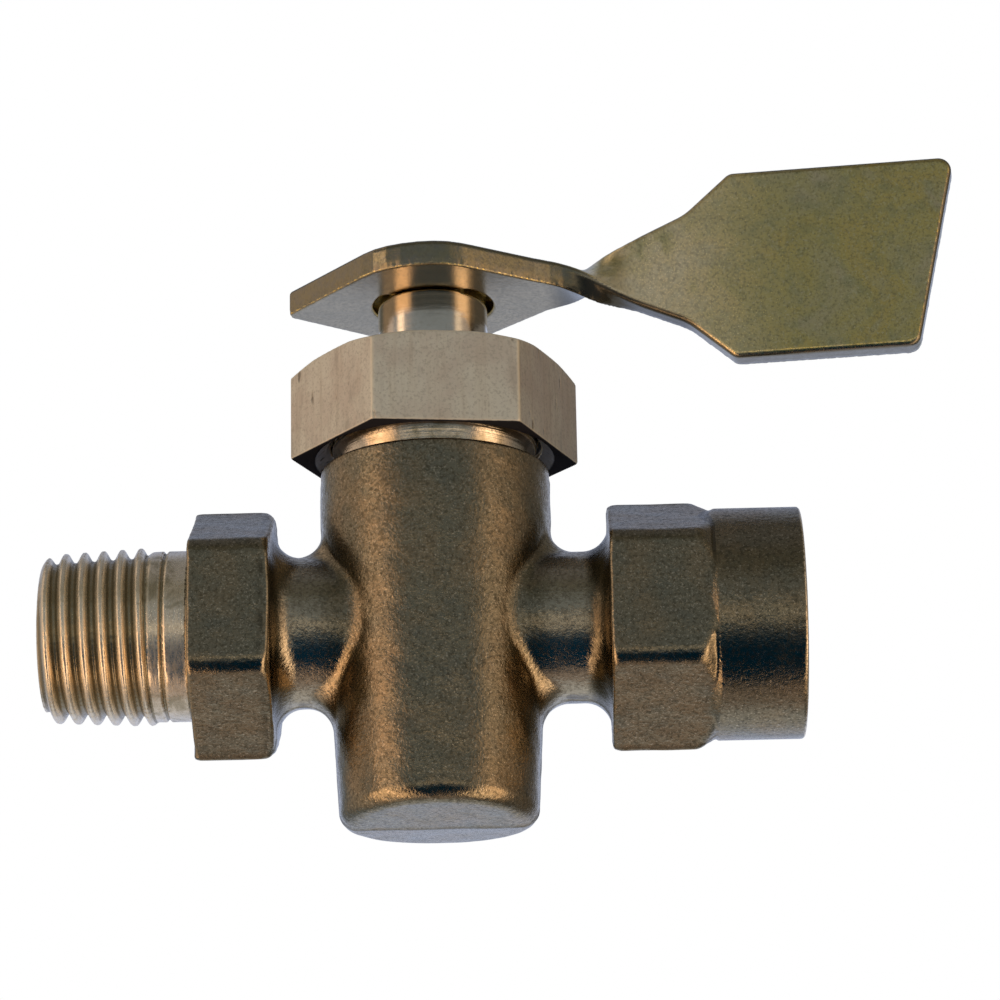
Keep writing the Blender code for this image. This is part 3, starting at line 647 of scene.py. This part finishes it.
class Look(Nodes):
    """A material around its Principled shader; `normal` gathers the bumps."""

    def __init__(self, name):
        self.mat = bpy.data.materials.new(name)
        self.mat.use_nodes = True
        super().__init__(self.mat.node_tree, "Object")
        self.shader = self.tree.nodes["Principled BSDF"]
        self.normal = None

    def texture(self, kind, scale, stretch):
        node = self.node(kind)
        vector = self.coords
        if stretch:
            mapping = self.node("Mapping")
            self.put(mapping.inputs["Vector"], vector)
            mapping.inputs["Scale"].default_value = stretch
            vector = mapping.outputs["Vector"]
        self.put(node.inputs["Vector"], vector)
        node.inputs["Scale"].default_value = scale
        return node

    def noise(self, scale, detail=3.0, rough=0.6, distortion=0.0, stretch=None):
        node = self.texture("TexNoise", scale, stretch)
        node.inputs["Detail"].default_value = detail
        node.inputs["Roughness"].default_value = rough
        node.inputs["Distortion"].default_value = distortion
        return node.outputs["Fac"]

    def cells(self, scale, stretch):
        return self.texture("TexVoronoi", scale, stretch).outputs["Distance"]

    def ramp(self, factor, stops):
        node = self.node("ValToRGB")
        self.put(node.inputs["Fac"], factor)
        elements = node.color_ramp.elements
        while len(elements) < len(stops):
            elements.new(0.5)
        for item, (position, colour) in zip(elements, stops):
            item.position = position
            item.color = (*colour, 1.0)
        return node.outputs["Color"]

    def bend(self):
        """The mesh attribute: positive on edges, negative in hollows."""
        node = self.node("Attribute")
        node.attribute_name = "bend"
        return node.outputs["Fac"]

    def normal_z(self):
        return self.axes(self.node("TexCoord").outputs["Normal"])[2]

    def bump(self, height, distance, strength):
        node = self.node("Bump")
        node.inputs["Strength"].default_value = strength
        node.inputs["Distance"].default_value = distance
        self.put(node.inputs["Height"], height)
        if self.normal is not None:
            self.put(node.inputs["Normal"], self.normal)
        self.normal = node.outputs["Normal"]

    def finish(self, rough, metallic=1.0):
        self.put(self.shader.inputs["Base Color"], self.colour)
        self.put(self.shader.inputs["Roughness"], rough)
        self.put(self.shader.inputs["Metallic"], metallic)
        if self.normal is not None:
            self.put(self.shader.inputs["Normal"], self.normal)
        return self.mat


# ---------------------------------------------------------------- materials (places in metres)
MID = (0.3, 0.7)                    # the span of a noise that drives roughness


def forged_brass():
    look = Look("forged_brass_look")
    grain = look.noise(3600.0, rough=0.7)
    fine = look.noise(6500.0, detail=2.0)
    cloud = look.noise(240.0, detail=4.0, distortion=0.4)
    patch = look.noise(620.0, detail=4.0, rough=0.62)
    look.colour = (0.335, 0.285, 0.185)
    look.paint((0.39, 0.30, 0.18), cloud, span=(0.38, 0.62))
    look.paint((0.27, 0.25, 0.18), patch, span=(0.50, 0.68), top=0.55)
    look.paint((0.14, 0.12, 0.075), grain, span=(0.44, 0.66), top=0.80)
    look.paint((0.72, 0.60, 0.42), fine, span=(0.56, 0.70), top=0.75)
    look.paint((0.62, 0.50, 0.32), look.bend(), span=(0.25, 0.8), top=0.45)
    x, y, z = look.axes(look.coords)
    out = look.math("ABSOLUTE", x)
    # paler arms between barrel and hexagons, painted shade in the recess beside each hexagon
    arm = look.times(look.between(out, (0.0072, 0.0092)), look.between(out, (0.0122, 0.0108)))
    pale = look.mix(look.between(grain, (0.42, 0.62)), (0.80, 0.69, 0.50), (0.50, 0.42, 0.30))
    look.paint(pale, look.times(arm, 0.5))
    recess_shade = look.times(look.between(out, (0.0110, 0.0121)),
                        look.between(out, (0.0132, 0.0127)),
                        look.between(look.bend(), (0.05, -0.06)))
    look.paint((0.085, 0.072, 0.045), look.times(recess_shade, 0.75))
    # painted shade in hollows that face up
    upward_hollow_shade = look.times(look.between(look.normal_z(), (0.10, 0.50)),
                        look.between(look.bend(), (-0.08, -0.30)))
    look.paint((0.10, 0.085, 0.055), look.times(upward_hollow_shade, 0.70))
    # painted shade on the undersides of the arms
    under = look.times(look.between(look.normal_z(), (-0.970, -0.997)),
                       look.between(z, (0.0040, 0.0060)),
                       look.times(look.between(out, (0.0062, 0.0075)),
                                  look.between(out, (0.0130, 0.0126))))
    look.paint((0.13, 0.11, 0.08), look.times(under, 0.75))
    seam = look.between(look.math("ABSOLUTE", y), (0.00042, 0.00018))
    look.paint((0.16, 0.135, 0.09), look.times(seam, 0.45))
    # painted shade in the hollows
    look.paint((0.15, 0.115, 0.07), look.bend(), span=(-0.12, -0.6), top=0.22)
    # smoother towards the top and in hollows
    rough = look.math("ADD", look.between(grain, MID, to=(0.19, 0.35)),
                      look.between(cloud, MID, to=(-0.03, 0.05)))
    rough = look.math("SUBTRACT", rough, look.between(z, (0.0190, 0.0100), to=(0.0, 0.10)))
    rough = look.math("SUBTRACT", rough,
                      look.between(look.bend(), (-0.10, -0.5), to=(0.0, 0.05)))
    look.bump(grain, distance=0.00006, strength=0.6)
    look.bump(patch, distance=0.00012, strength=0.30)
    return look.finish(rough)


def cut_brass(name, stretch, rough, metallic):
    """Machined brass; `stretch` sets the direction of the tool marks."""
    look = Look(name)
    marks = look.noise(900.0, stretch=stretch)
    stain = look.noise(500.0, detail=4.0, distortion=0.6)
    fine = look.noise(5200.0, detail=2.0)
    look.colour = (0.95, 0.82, 0.62)
    look.paint((0.78, 0.66, 0.47), stain, span=(0.40, 0.66))
    look.paint((0.46, 0.36, 0.22), fine, span=(0.48, 0.70), top=0.4)
    look.paint((0.36, 0.31, 0.19), stain, span=(0.50, 0.66), top=0.55)
    # painted shade in the hollows, such as the thread roots
    look.paint((0.37, 0.30, 0.18), look.bend(), span=(-0.10, -0.5))
    look.paint((0.98, 0.84, 0.62), look.bend(), span=(0.10, 0.55))
    look.bump(marks, distance=0.00005, strength=0.35)
    look.bump(fine, distance=0.00002, strength=0.4)
    return look.finish(look.between(marks, MID, to=rough), metallic)


def nut_brass():
    look = Look("machined_nut_brass_look")
    drawn = look.noise(700.0, detail=4.0, stretch=(3.0, 3.0, 0.16))
    cloud = look.noise(260.0, detail=4.0)
    fine = look.noise(4600.0, detail=2.0)
    smudge = look.noise(360.0, detail=5.0, rough=0.68, distortion=0.3, stretch=(1.7, 1.7, 0.5))
    # ragged pits, kept only where a broad noise picks them
    cells = look.cells(520.0, stretch=(2.2, 2.2, 0.55))
    pick = look.noise(300.0, detail=2.0, rough=0.5)
    ragged = look.noise(2500.0, rough=0.7)
    pit = look.times(
        look.between(look.math("ADD", cells, look.times(ragged, 0.22)), (0.37, 0.23)),
        look.between(pick, (0.47, 0.55)))
    look.colour = (0.75, 0.69, 0.55)
    look.paint((0.67, 0.58, 0.46), cloud, span=(0.38, 0.64))
    look.paint((0.36, 0.31, 0.24), smudge, span=(0.52, 0.72), top=0.5)
    look.paint((0.44, 0.37, 0.27), drawn, span=(0.50, 0.74), top=0.32)
    look.paint((0.47, 0.41, 0.31), fine, span=(0.48, 0.68), top=0.55)
    look.paint((0.13, 0.11, 0.08), look.times(pit, 0.62))
    look.paint((0.85, 0.75, 0.56), look.bend(), span=(0.2, 0.7), top=0.6)
    # painted shade on faces turned down: they are made dark and dull
    downward_shade = look.between(look.normal_z(), (-0.55, -0.85))
    look.paint((0.03, 0.03, 0.035), downward_shade)
    rough = look.math("ADD", look.between(drawn, MID, to=(0.40, 0.52)), look.times(pit, 0.25))
    look.bump(drawn, distance=0.00003, strength=0.25)
    look.bump(look.math("SUBTRACT", 1.0, pit), distance=0.00012, strength=0.8)
    look.bump(fine, distance=0.00002, strength=0.5)
    look.put(look.shader.inputs["Specular IOR Level"],
             look.math("SUBTRACT", 0.5, look.times(downward_shade, 0.5)))
    return look.finish(rough, metallic=look.math("SUBTRACT", 0.72, look.times(downward_shade, 0.72)))


def stem_brass():
    look = Look("turned_stem_brass_look")
    rings = look.noise(420.0, detail=5.0, rough=0.7, stretch=(0.15, 0.15, 9.0))
    stain = look.noise(330.0, detail=4.0, distortion=0.5)
    fine = look.noise(4600.0, detail=2.0)
    look.colour = (0.96, 0.86, 0.70)
    look.paint((0.87, 0.78, 0.63), stain, span=(0.40, 0.64))
    look.paint((0.72, 0.60, 0.45), fine, span=(0.5, 0.7), top=0.35)
    look.paint((0.86, 0.72, 0.5), look.bend(), span=(0.25, 0.8))
    look.bump(rings, distance=0.00003, strength=0.3)
    return look.finish(look.between(rings, MID, to=(0.10, 0.18)))


def zinc(name, edge):
    """Yellow chromated zinc; `edge` gives the greyer sheared edge."""
    look = Look(name)
    cloud = look.noise(170.0, detail=5.0, rough=0.62, distortion=0.8)
    drift = look.noise(60.0, detail=2.0, rough=0.5)
    patch = look.noise(900.0)
    grain = look.noise(4700.0, rough=0.75)
    light = look.noise(6200.0, detail=2.0, rough=0.65)
    tint = look.math("ADD", look.times(cloud, 0.65), look.times(drift, 0.35))
    look.colour = look.ramp(tint, [
        (0.36, (0.88, 0.70, 0.40)), (0.44, (0.84, 0.68, 0.30)), (0.50, (0.88, 0.69, 0.24)),
        (0.56, (0.92, 0.68, 0.21)), (0.62, (0.84, 0.68, 0.30)), (0.70, (0.90, 0.68, 0.40))])
    look.paint((0.47, 0.46, 0.24), patch, span=(0.45, 0.70), top=0.45)
    look.paint((0.40, 0.34, 0.16), grain, span=(0.46, 0.68), top=0.75)
    look.paint((1.0, 0.86, 0.50), light, span=(0.54, 0.70), top=0.65)
    # pale around the twist
    x = look.axes(look.coords)[0]
    pale = look.times(look.between(x, (0.0100, 0.0130)), look.between(x, (0.0290, 0.0160)),
                      look.between(cloud, (0.30, 0.55)))
    pale_colour = look.mix(look.between(grain, (0.42, 0.62)),
                           (0.95, 0.82, 0.62), (0.70, 0.60, 0.44))
    look.paint(pale_colour, look.times(pale, 0.6))
    # painted shade underneath: a darker, duller colour on faces turned down
    under = look.mix(look.between(cloud, (0.38, 0.64)), (0.45, 0.37, 0.24), (0.39, 0.33, 0.22))
    under = look.mix(look.between(grain, (0.40, 0.64)), under, (0.31, 0.265, 0.18))
    look.paint(under, look.normal_z(), span=(-0.6, -0.9))
    if edge:
        look.paint((0.23, 0.21, 0.175), 0.74)
        look.paint((0.34, 0.31, 0.25), look.noise(1500.0), span=(0.42, 0.66), top=0.5)
    look.paint((0.80, 0.70, 0.46), look.bend(), span=(0.35, 0.9), top=0.2)
    # painted shade on the downward side of the twist
    twist_shade = look.times(look.between(x, (0.0085, 0.0105)), look.between(x, (0.0218, 0.0188)),
                      look.between(look.normal_z(), (0.0, -0.35)))
    look.paint((0.09, 0.08, 0.055), look.times(twist_shade, 0.88))
    rough = look.math("ADD", look.between(grain, MID, to=(0.16 if edge else 0.15, 0.27)),
                      look.between(look.bend(), (0.30, 0.8), to=(0.0, 0.22)))
    look.bump(grain, distance=0.00002, strength=0.5)
    look.bump(patch, distance=0.00004, strength=0.6 if edge else 0.3)
    return look.finish(rough, metallic=look.math("SUBTRACT", 1.0, look.times(pale, 0.18)))


def plain_look(name, tones, rough, edge=None, scales=(2600.0, 500.0), metallic=1.0, dent=0.4):
    """Small part: two clouded tones, an optional edge colour; scales of grain and cloud."""
    look = Look(name)
    grain, cloud = (look.noise(scale) for scale in scales)
    look.colour = tones[0]
    look.paint(tones[1], cloud, span=(0.4, 0.65))
    if edge:
        pointiness = look.node("NewGeometry").outputs["Pointiness"]
        look.paint(edge, pointiness, span=(0.53, 0.62))
    look.bump(grain, distance=0.00002, strength=dent)
    return look.finish(look.between(grain, MID, to=rough), metallic)


def assign(obj, materials, pick=None):
    for material in materials:
        obj.data.materials.append(material)
    if pick is not None:
        obj.data.polygons.foreach_set("material_index", pick.astype(np.int32))
    obj.data.update()


def body_slots():
    """Slot of each body face: 0 forged, 1 cut threads and bores, 2 neck and plug seat."""
    x, y, z = face_centres(body_obj)
    stem_r, pipe_r = np.hypot(x, y), np.hypot(y, z)
    machined = (x < -18.42) & (pipe_r < 7.4)
    machined |= (pipe_r < 3.9) & (stem_r > 5.0)
    machined |= (stem_r < 6.35) & (np.abs(z) < 13.0)
    machined |= (x > 13.0) & (pipe_r < 7.15)
    machined |= x > FEMALE_END - 0.12
    seat = (z > 12.3) | ((stem_r < 6.55) & (z > -13.2) & (pipe_r > 3.7))
    return np.where(seat, 2, np.where(machined, 1, 0))


def lever_slots():
    """Slot of each lever face: 1 on the sheared edge, else 0."""
    along, width, height = lever_local(*face_centres(lever_obj))
    return (np.abs(height) < 0.93) & (lever_outline(along, width) > -0.3)


assign(body_obj, [
    forged_brass(),
    cut_brass("cut_thread_brass_look", stretch=(6.0, 1.0, 1.0), rough=(0.20, 0.36), metallic=0.90),
    cut_brass("turned_seat_brass_look", stretch=(0.12, 0.12, 6.0), rough=(0.13, 0.22),
              metallic=1.0)], body_slots())
assign(nut_obj, [nut_brass()])
assign(plug_obj, [stem_brass()])
assign(lever_obj, [zinc("chromated_zinc_look", edge=False),
                   zinc("chromated_zinc_edge_look", edge=True)], lever_slots())
assign(spring_obj, [plain_look("spring_wire_look", [(0.56, 0.56, 0.55), (0.40, 0.39, 0.37)],
                               rough=(0.22, 0.38), edge=(0.7, 0.7, 0.69))])
washer_brass = plain_look("stamped_washer_look", [(0.68, 0.54, 0.30), (0.50, 0.39, 0.22)],
                          rough=(0.24, 0.40), edge=(0.82, 0.68, 0.42))
assign(lower_obj, [washer_brass])
assign(upper_obj, [washer_brass])
SOFT = {"scales": (3000.0, 400.0), "metallic": 0.0, "dent": 0.3}
assign(slip_obj, [plain_look("white_plastic_look", [(0.80, 0.79, 0.75), (0.72, 0.70, 0.64)],
                             rough=(0.38, 0.55), edge=(0.86, 0.85, 0.82), **SOFT)])
assign(oring_obj, [plain_look("black_rubber_look",
                              [(0.018, 0.018, 0.019), (0.032, 0.031, 0.030)],
                              rough=(0.42, 0.62), **SOFT)])

# rows: fine object, CAD piece it replaces, moving body it rides, material slot
for obj, piece, carrier, slot in (
        (body_obj, "valve_body", "body", "forged_brass"),
        (nut_obj, "bonnet_nut", "body", "machined_brass"),
        (plug_obj, "tapered_plug", "plug", "plug_brass"),
        (lever_obj, "lever_handle", "plug", "zinc_steel"),
        (spring_obj, "plug_spring", "body", "spring_steel"),
        (lower_obj, "lower_spring_washer", "floating_washers", "washer_brass"),
        (upper_obj, "upper_spring_washer", "body", "washer_brass"),
        (slip_obj, "slip_washer", "floating_washers", "white_plastic"),
        (oring_obj, "stem_oring", "body", "black_rubber")):
    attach(obj, carrier)
    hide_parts(piece)
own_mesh(spring_obj)


# ---------------------------------------------------------------- floor, light and camera
def add_floor():
    """Pale floor that only the camera sees, clear from below."""
    mesh = bpy.data.meshes.new("floor")
    mesh.from_pydata([(-2, -2, 0), (2, -2, 0), (2, 2, 0), (-2, 2, 0)], [], [(0, 1, 2, 3)])
    floor = bpy.data.objects.new("floor", mesh)
    floor.location = (0.0, 0.0, -0.0003)
    bpy.context.scene.collection.objects.link(floor)
    look = Look("pale_floor")
    look.colour = (0.86, 0.86, 0.86)
    look.paint((0.83, 0.83, 0.835), look.noise(9.0, rough=0.55))
    mesh.materials.append(look.finish(rough=0.75, metallic=0.0))
    mixer = look.node("MixShader")
    look.put(mixer.inputs[0], look.node("NewGeometry").outputs["Backfacing"])
    look.put(mixer.inputs[1], look.shader.outputs[0])
    look.put(mixer.inputs[2], look.node("BsdfTransparent").outputs[0])
    look.put(look.tree.nodes["Material Output"].inputs["Surface"], mixer.outputs[0])
    for ray in ("glossy", "diffuse", "transmission", "shadow"):
        setattr(floor, "visible_" + ray, False)


def paint_sky(sky):
    """Studio surroundings as soft patches; all angles are in degrees."""
    x, y, z = sky.axes(sky.coords)
    # azimuth is 0 towards the camera and grows to its right
    azimuth = sky.math("ARCTAN2", x, sky.math("MULTIPLY", y, -1.0))
    elevation = sky.math("ARCSINE", z)

    def rise(angle, start, end):
        return sky.between(angle, (math.radians(start), math.radians(end)))

    def strip(angle, centre, half, soft):
        return sky.times(rise(angle, centre - half - soft, centre - half + soft),
                         rise(angle, centre + half + soft, centre + half - soft))

    def column(centre, half, soft):
        return strip(azimuth, centre, half, soft)

    def level(start, end):
        return rise(elevation, start, end)

    sky.colour = (0.175, 0.20, 0.225)
    sky.paint((0.10, 0.10, 0.085), level(26, 44))
    sky.paint((0.46, 0.38, 0.33), column(centre=-108, half=20, soft=8))
    sky.paint((0.32, 0.255, 0.20), sky.times(column(centre=76, half=27, soft=8), level(40, 10)))
    sky.paint((0.13, 0.125, 0.12), column(centre=122, half=24, soft=8))
    # behind the valve
    back = sky.mix(level(8, 44), (0.55, 0.63, 0.85), (0.30, 0.35, 0.50))
    back = sky.mix(level(-50, -20), (0.50, 0.52, 0.58), back)
    sky.paint(back, rise(sky.math("ABSOLUTE", azimuth), 140, 160))
    sky.paint((0.13, 0.135, 0.15), level(52, 74))
    # warm panels left and right, a brighter bar across each, and their lower parts
    sky.paint((1.15, 0.79, 0.57), sky.times(column(centre=-60, half=13, soft=9), level(23, 8)))
    sky.paint((0.82, 0.62, 0.47), sky.times(column(centre=63, half=9, soft=8), level(25, 8)))
    bar = strip(elevation, centre=22, half=5, soft=3)
    sky.paint((1.45, 1.10, 0.82), sky.times(column(centre=-70, half=8, soft=5), bar))
    sky.paint((0.80, 0.65, 0.50), sky.times(column(centre=57, half=7, soft=5), bar))
    under = level(2, -12)
    sky.paint((2.0, 1.30, 0.82), sky.times(column(centre=-66, half=16, soft=8), under))
    sky.paint((1.9, 1.35, 0.92), sky.times(column(centre=68, half=14, soft=8), under))
    # low front strip, ground below, and a dark patch in front
    sky.paint((0.62, 0.55, 0.46), sky.times(strip(elevation, centre=-5, half=4, soft=3),
                                            column(centre=0, half=38, soft=6)))
    sky.paint((0.30, 0.25, 0.235), level(-66, -78))
    sky.paint((0.001, 0.024, 0.060), sky.times(level(-10, -32), level(-84, -78),
                                               column(centre=0, half=44, soft=6)))


def add_world():
    """The painted sky lights the valve; the camera itself sees plain white."""
    world = bpy.data.worlds.new("studio")
    bpy.context.scene.world = world
    world.use_nodes = True
    sky = Nodes(world.node_tree, "Generated")
    paint_sky(sky)
    background = sky.tree.nodes["Background"]
    plain = sky.node("Background")
    for node, colour in ((background, sky.colour), (plain, (1.0, 1.0, 1.0))):
        sky.put(node.inputs["Color"], colour)
        node.inputs["Strength"].default_value = 1.0
    swap = sky.node("MixShader")
    sky.put(swap.inputs[0], sky.node("LightPath").outputs["Is Camera Ray"])
    sky.put(swap.inputs[1], background.outputs[0])
    sky.put(swap.inputs[2], plain.outputs[0])
    sky.put(sky.tree.nodes["World Output"].inputs["Surface"], swap.outputs[0])


def add_lamp(name, position, size, power, colour):
    """Round area light aimed at the valve."""
    data = bpy.data.lights.new(name, "AREA")
    data.shape = "DISK"
    data.size = size
    data.energy = power
    data.color = colour
    obj = bpy.data.objects.new(name, data)
    obj.visible_glossy = False
    bpy.context.scene.collection.objects.link(obj)
    obj.location = position
    aim = Vector((0.0, 0.0, 0.02)) - Vector(position)
    obj.rotation_euler = aim.to_track_quat("-Z", "Y").to_euler()


def add_camera(position, yaw, pitch, roll):
    """Camera at a place in mm, turned by angles in degrees."""
    data = bpy.data.cameras.new("camera")
    camera = bpy.data.objects.new("camera", data)
    bpy.context.scene.collection.objects.link(camera)
    data.sensor_width = 36.0
    data.lens = 146.05
    data.clip_start = 0.01
    data.clip_end = 20.0
    yaw, pitch, roll = (math.radians(angle) for angle in (yaw, pitch, roll))
    forward = np.array([math.sin(yaw) * math.cos(pitch), math.cos(yaw) * math.cos(pitch),
                        math.sin(pitch)])
    right = np.cross(forward, [0, 0, 1.0])
    right /= np.linalg.norm(right)
    up = np.cross(right, forward)
    place = np.eye(4)
    place[:3, 0] = math.cos(roll) * right + math.sin(roll) * up
    place[:3, 1] = -math.sin(roll) * right + math.cos(roll) * up
    place[:3, 2] = -forward
    place[:3, 3] = np.array(position) * MM
    camera.matrix_world = Matrix(place.tolist())
    bpy.context.scene.camera = camera


add_floor()
add_world()
add_lamp("overhead_soft", (-0.10, -0.10, 0.90), size=0.90, power=1.6, colour=(1.0, 0.98, 0.95))
add_lamp("front_fill", (-0.20, -0.80, 0.10), size=0.50, power=4.0, colour=(1.0, 0.98, 0.94))
add_camera((8.287, -292.30, -72.82), yaw=-0.659, pitch=18.602, roll=-1.100)
bpy.context.scene.view_settings.view_transform = "Standard"

bpy.context.view_layer.update()
